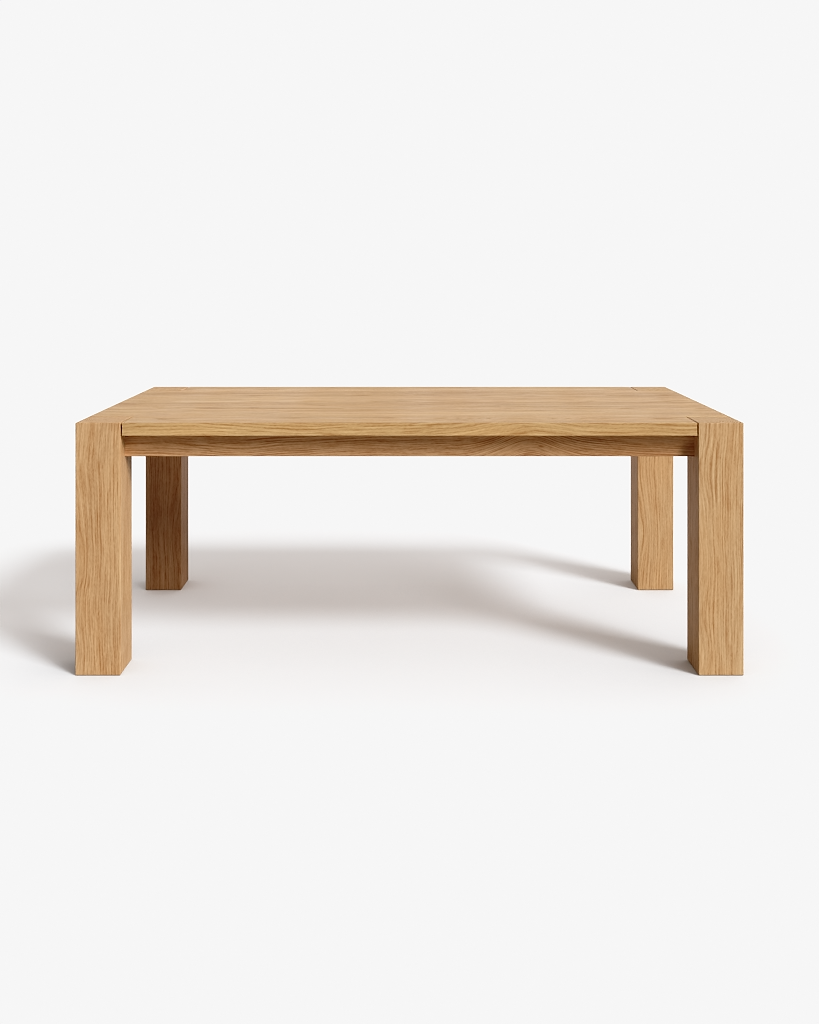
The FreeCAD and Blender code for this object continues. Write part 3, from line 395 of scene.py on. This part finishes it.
# Aprons and the cross rails.
dress("front_apron", oak_material("oak_front_apron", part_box("front_apron"), "x", (911, 37, 505),
                                  (0, 40), (0.0, 0.012), 12.0, 6.5, (1.05, 0.97, 0.96), -0.02, 1.05,
                                  rings=0.30, bow=(368, 125, 80), waves=(460, 9),
                                  marks=[(-5, 3.5, 399, 8, 0.55, True), (2, 12, 372, 22, -0.12, True)]))
dress("rear_apron", oak_material("oak_rear_apron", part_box("rear_apron"), "x", (611, 337, 1505),
                                 (-10, -40), (0.003, 0.012), 12.0, 5.8, (1.0, 0.95, 0.96)))
dress("left_apron", oak_material("oak_left_apron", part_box("left_apron"), "y", (311, 737, 905),
                                 (30, 20), (0.003, 0.016), 12.0, 5.6, (1.0, 0.95, 0.96)))
dress("right_apron", oak_material("oak_right_apron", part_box("right_apron"), "y", (211, 137, 205),
                                  (-35, 12), (0.003, -0.016), 12.0, 6.0, (1.0, 0.95, 0.96)))
for k, node in enumerate(("cross_rail_left", "cross_rail_right")):
    dress(node, oak_material("oak_" + node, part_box(node), "y", (121 + 400 * k, 637, 1305 + 77 * k),
                             (60, 30), (0.0, 0.01), 9.0, 5.4, (0.97, 0.99, 1.0), 0.04,
                             rough=0.62, polish=0.25))
dress("top_buttons", oak_material("oak_top_buttons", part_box("top_buttons"), "x", (21, 37, 305),
                                  (600, 30), (0.0, 0.01), 9.0, 5.0, (0.98, 0.98, 0.98), 0.04,
                                  rough=0.62, polish=0.25))


# ------------------------------------------------------------------ metal, nylon, beech

def principled(name):
    mat = bpy.data.materials.new(name)
    mat.use_nodes = True
    mat.node_tree.nodes.clear()
    T = Tree(mat.node_tree)
    out = T.n.new("ShaderNodeOutputMaterial")
    bsdf = T.n.new("ShaderNodeBsdfPrincipled")
    T.l.new(bsdf.outputs[0], out.inputs[0])
    coord = T.n.new("ShaderNodeTexCoord")
    return mat, T, bsdf, coord.outputs["Object"]


def zinc(name, thread=None):
    """Dull zinc plate with a faint blue-yellow passivation, scuffs and, on bolts, a thread."""
    mat, T, bsdf, P = principled(name)
    mm = T.vmath("SCALE", P, scale=1000.0)
    bloom = T.noise(mm, scale=0.035, detail=3.0, rough=0.6)
    grain = T.noise(mm, scale=0.9, detail=2.0, rough=0.6)
    scuff = T.noise(T.vmath("MULTIPLY", mm, (0.25, 0.25, 2.2)), detail=2.0)
    colour = T.mix("MIX", T.smooth(bloom, 0.32, 0.68), (0.56, 0.58, 0.61, 1), (0.66, 0.645, 0.60, 1))
    colour = T.mix("MULTIPLY", T.smooth(scuff, 0.55, 0.75), colour, (0.82, 0.82, 0.83, 1))
    T.l.new(colour, bsdf.inputs["Base Color"])
    bsdf.inputs["Metallic"].default_value = 1.0
    r = T.math("ADD", 0.34, T.math("MULTIPLY", T.math("SUBTRACT", grain, 0.5), 0.25))
    r = T.math("ADD", r, T.math("MULTIPLY", T.math("SUBTRACT", bloom, 0.5), 0.2))
    T.l.new(r, bsdf.inputs["Roughness"])
    bump = T.n.new("ShaderNodeBump")
    bump.inputs["Strength"].default_value = 0.5
    if thread:
        x, y, z = T.split(mm)
        u = T.math("SUBTRACT", 1000.0, T.math("ABSOLUTE", x))
        v = T.math("SUBTRACT", 500.0, T.math("ABSOLUTE", y))
        s = T.math("MULTIPLY", T.math("ADD", u, v), math.sqrt(0.5))
        wave = T.math("SINE", T.math("MULTIPLY", s, 2 * math.pi / thread))
        T.l.new(wave, bump.inputs["Height"])
        bump.inputs["Distance"].default_value = 0.00035
    else:
        T.l.new(T.math("ADD", grain, T.math("MULTIPLY", scuff, 0.5)), bump.inputs["Height"])
        bump.inputs["Distance"].default_value = 0.00006
    T.l.new(bump.outputs[0], bsdf.inputs["Normal"])
    return mat


plate = zinc("zinc_plate")
for place in ("front_left", "front_right", "rear_left", "rear_right"):
    dress("corner_bracket_" + place, plate)
screws = zinc("zinc_screws")
for node in ("bolt_washers", "bolt_nuts", "bracket_screws", "button_screws", "rail_screws",
             "rail_washers", "glide_screws"):
    dress(node, screws)
dress("hanger_bolts", zinc("zinc_bolts", thread=1.25))

mat, T, bsdf, P = principled("nylon_glide")
mm = T.vmath("SCALE", P, scale=1000.0)
fine = T.noise(mm, scale=2.2, detail=2.0)
dust = T.noise(mm, scale=0.08, detail=3.0, rough=0.6)
colour = T.mix("MIX", T.smooth(dust, 0.4, 0.75), (0.020, 0.014, 0.010, 1), (0.045, 0.035, 0.028, 1))
T.l.new(colour, bsdf.inputs["Base Color"])
T.l.new(T.math("ADD", 0.5, T.math("MULTIPLY", T.math("SUBTRACT", dust, 0.5), 0.3)),
        bsdf.inputs["Roughness"])
bump = T.n.new("ShaderNodeBump")
bump.inputs["Strength"].default_value = 0.3
bump.inputs["Distance"].default_value = 0.00005
T.l.new(fine, bump.inputs["Height"])
T.l.new(bump.outputs[0], bsdf.inputs["Normal"])
for place in ("front_left", "front_right", "rear_left", "rear_right"):
    dress("glide_" + place, mat)

mat, T, bsdf, P = principled("beech_dowel")
mm = T.vmath("SCALE", P, scale=1000.0)
fleck = T.noise(T.vmath("MULTIPLY", mm, (0.6, 0.6, 2.5)), detail=2.0)
colour = T.mix("MIX", T.smooth(fleck, 0.35, 0.7), (0.62, 0.40, 0.24, 1), (0.50, 0.29, 0.15, 1))
T.l.new(colour, bsdf.inputs["Base Color"])
bsdf.inputs["Roughness"].default_value = 0.6
bump = T.n.new("ShaderNodeBump")
bump.inputs["Strength"].default_value = 0.3
bump.inputs["Distance"].default_value = 0.0001
T.l.new(fleck, bump.inputs["Height"])
T.l.new(bump.outputs[0], bsdf.inputs["Normal"])
dress("apron_dowels", mat)


# ------------------------------------------------------------------ floor and backdrop

mesh = bpy.data.meshes.new("floor")
R = 40.0
mesh.from_pydata([(-R, -R, 0), (R, -R, 0), (R, R, 0), (-R, R, 0)], [], [(0, 1, 2, 3)])
floor = bpy.data.objects.new("floor", mesh)
scene.collection.objects.link(floor)
mat = bpy.data.materials.new("floor_paper")
mat.use_nodes = True
mat.node_tree.nodes.clear()
T = Tree(mat.node_tree)


def diffuse(T, albedo):
    s = T.n.new("ShaderNodeBsdfDiffuse")
    s.inputs["Color"].default_value = (*albedo, 1)
    return s.outputs[0]


def emission(T, strength, colour=(1, 1, 1)):
    s = T.n.new("ShaderNodeEmission")
    s.inputs["Color"].default_value = (*colour, 1)
    T.feed(s.inputs["Strength"], strength)
    return s.outputs[0]


def two(T, kind, a, b, fac=None):
    s = T.n.new("ShaderNodeAddShader" if kind == "ADD" else "ShaderNodeMixShader")
    if kind == "MIX":
        T.feed(s.inputs[0], fac)
    T.l.new(a, s.inputs[-2])
    T.l.new(b, s.inputs[-1])
    return s.outputs[0]


# The paper glows where it sees the open studio, so it darkens softly under the table, and more
# where a leg stands close by on the window's side. Light off the oak warms what is left.
out = T.n.new("ShaderNodeOutputMaterial")
open_sky = T.n.new("ShaderNodeAmbientOcclusion")
open_sky.samples = 12
open_sky.inputs["Distance"].default_value = 1.1
behind_leg = T.n.new("ShaderNodeAmbientOcclusion")
behind_leg.samples = 8
behind_leg.inputs["Distance"].default_value = 0.6
T.feed(behind_leg.inputs["Normal"], T.join(0.578, -0.485, 0.656))
coord = T.n.new("ShaderNodeTexCoord")
x, y, z = T.split(coord.outputs["Object"])
screened = T.math("POWER", behind_leg.outputs["AO"], T.smooth(y, -0.25, 0.35, 1.1, 0.4))
glow = emission(T, T.mul(T.mul(open_sky.outputs["AO"], 0.485), screened))
warm = emission(T, T.mul(screened, 0.064), (1.50, 0.90, 0.56))
near = two(T, "ADD", diffuse(T, (0.582, 0.611, 0.640)), two(T, "ADD", glow, warm))
away = T.vmath("LENGTH", T.join(T.math("DIVIDE", x, 1.35), y, 0.0))
beyond = T.math("MAXIMUM", T.smooth(away, 1.25, 1.85), T.smooth(T.mul(y, -1.0), 0.55, 1.0))
beyond = T.math("MAXIMUM", beyond, T.smooth(x, 1.15, 1.40))
paper = two(T, "MIX", near, emission(T, 1.09), beyond)
path = T.n.new("ShaderNodeLightPath")
T.l.new(two(T, "MIX", diffuse(T, (0.49, 0.49, 0.49)), paper, path.outputs["Is Camera Ray"]), out.inputs[0])
mesh.materials.append(mat)

# The room: a bright backdrop behind the table, low down, and a weaker one above it.
world = bpy.data.worlds.new("studio")
world.cycles.sampling_method = "NONE"       # it is too broad for that to help
scene.world = world
world.use_nodes = True
world.node_tree.nodes.clear()
T = Tree(world.node_tree)
out = T.n.new("ShaderNodeOutputWorld")
coord = T.n.new("ShaderNodeTexCoord")
x, y, z = T.split(coord.outputs["Generated"])
behind = T.smooth(y, 0.0, 0.5)
low = T.mul(T.smooth(z, 0.12, 0.42, 1.0, 0.0), behind)
mid = T.mul(T.mul(T.smooth(z, 0.15, 0.40), T.smooth(z, 0.65, 0.92, 1.0, 0.0)), behind)
top = T.smooth(z, 0.6, 0.95)
path = T.n.new("ShaderNodeLightPath")
light = T.n.new("ShaderNodeBackground")
light.inputs["Color"].default_value = (1, 1, 1, 1)
T.feed(light.inputs["Strength"], T.add(T.mul(low, 1.94), T.mul(mid, 0.35), T.mul(top, 0.19)))
seen = T.n.new("ShaderNodeBackground")
seen.inputs["Color"].default_value = (1, 1, 1, 1)
seen.inputs["Strength"].default_value = 1.09
pick = T.n.new("ShaderNodeMixShader")
T.l.new(path.outputs["Is Camera Ray"], pick.inputs[0])
T.l.new(light.outputs[0], pick.inputs[1])
T.l.new(seen.outputs[0], pick.inputs[2])
T.l.new(pick.outputs[0], out.inputs[0])


# ------------------------------------------------------------------ light

# One large soft window, front right, made of two overlapping discs: azimuth from +X towards the
# camera, elevation, angle across, strength.
WINDOW = [
    (40.5, 40.5, 15, 3.05),
    (50, 27.5, 16, 1.15),
]
for k, (a, e, across, energy) in enumerate(WINDOW):
    sun = bpy.data.lights.new("window_%d" % (k + 1), "SUN")
    sun.energy = energy
    sun.angle = math.radians(across)
    sun.color = (1.0, 1.0, 1.0)
    a, e = math.radians(a), math.radians(e)
    towards = Vector((math.cos(e) * math.cos(a), -math.cos(e) * math.sin(a), math.sin(e)))
    obj = bpy.data.objects.new("window_%d" % (k + 1), sun)
    obj.rotation_euler = towards.to_track_quat("Z", "Y").to_euler()
    obj.location = towards * 5
    scene.collection.objects.link(obj)


# ------------------------------------------------------------------ film

# The picture's tone: deeper shadows, a straight middle and a soft shoulder into white paper.
def tone(v):
    if v < 0.07:
        return v * v / 0.14
    if v < 0.65:
        return v - 0.035
    t = min((v - 0.65) / 0.42, 1.0)
    return 0.615 + 0.42 * (t - 0.269 * t * t)


WHITE = 1.3
view = scene.view_settings
view.view_transform = "Standard"
view.look = "None"
view.exposure = 0.0
view.gamma = 1.0
scene.use_nodes = True
film = scene.node_tree
film.nodes.clear()
layers = film.nodes.new("CompositorNodeRLayers")
limit = film.nodes.new("CompositorNodeMixRGB")
limit.blend_type = "DARKEN"
limit.inputs[0].default_value = 1.0
limit.inputs[2].default_value = (WHITE, WHITE, WHITE, 1)
print_curve = film.nodes.new("CompositorNodeCurveRGB")
print_curve.inputs["White Level"].default_value = (WHITE, WHITE, WHITE, 1)
curves = print_curve.mapping
curves.extend = "HORIZONTAL"
master = curves.curves[3]
while len(master.points) > 2:
    master.points.remove(master.points[1])
stops = [0, 0.01, 0.02, 0.035, 0.05, 0.07, 0.65, 0.72, 0.79, 0.86, 0.93, 1.0, 1.07, WHITE]
master.points[0].location = (0, 0)
master.points[-1].location = (1.0, tone(WHITE))
for s in stops[1:-1]:
    master.points.new(s / WHITE, tone(s))
for p in master.points:
    p.handle_type = "VECTOR"
curves.update()
# As a camera's own picture does it: light and shade a little sharpened, colour a little softened.
encode = film.nodes.new("CompositorNodeGamma")
encode.inputs["Gamma"].default_value = 1 / 2.2
parts = film.nodes.new("CompositorNodeSeparateColor")
parts.mode = "YUV"
sharp = film.nodes.new("CompositorNodeFilter")
sharp.filter_type = "SHARPEN_DIAMOND"
sharp.inputs["Fac"].default_value = 0.20
join = film.nodes.new("CompositorNodeCombineColor")
join.mode = "YUV"
decode = film.nodes.new("CompositorNodeGamma")
decode.inputs["Gamma"].default_value = 2.2
done = film.nodes.new("CompositorNodeComposite")
film.links.new(layers.outputs["Image"], limit.inputs[1])
film.links.new(limit.outputs[0], print_curve.inputs["Image"])
film.links.new(print_curve.outputs[0], encode.inputs["Image"])
film.links.new(encode.outputs[0], parts.inputs[0])
film.links.new(parts.outputs[0], sharp.inputs["Image"])
film.links.new(sharp.outputs[0], join.inputs[0])
for k in (1, 2):
    soft = film.nodes.new("CompositorNodeBlur")
    soft.filter_type = "GAUSS"
    soft.size_x = soft.size_y = 2
    film.links.new(parts.outputs[k], soft.inputs["Image"])
    film.links.new(soft.outputs[0], join.inputs[k])
film.links.new(join.outputs[0], decode.inputs["Image"])
film.links.new(decode.outputs[0], done.inputs["Image"])
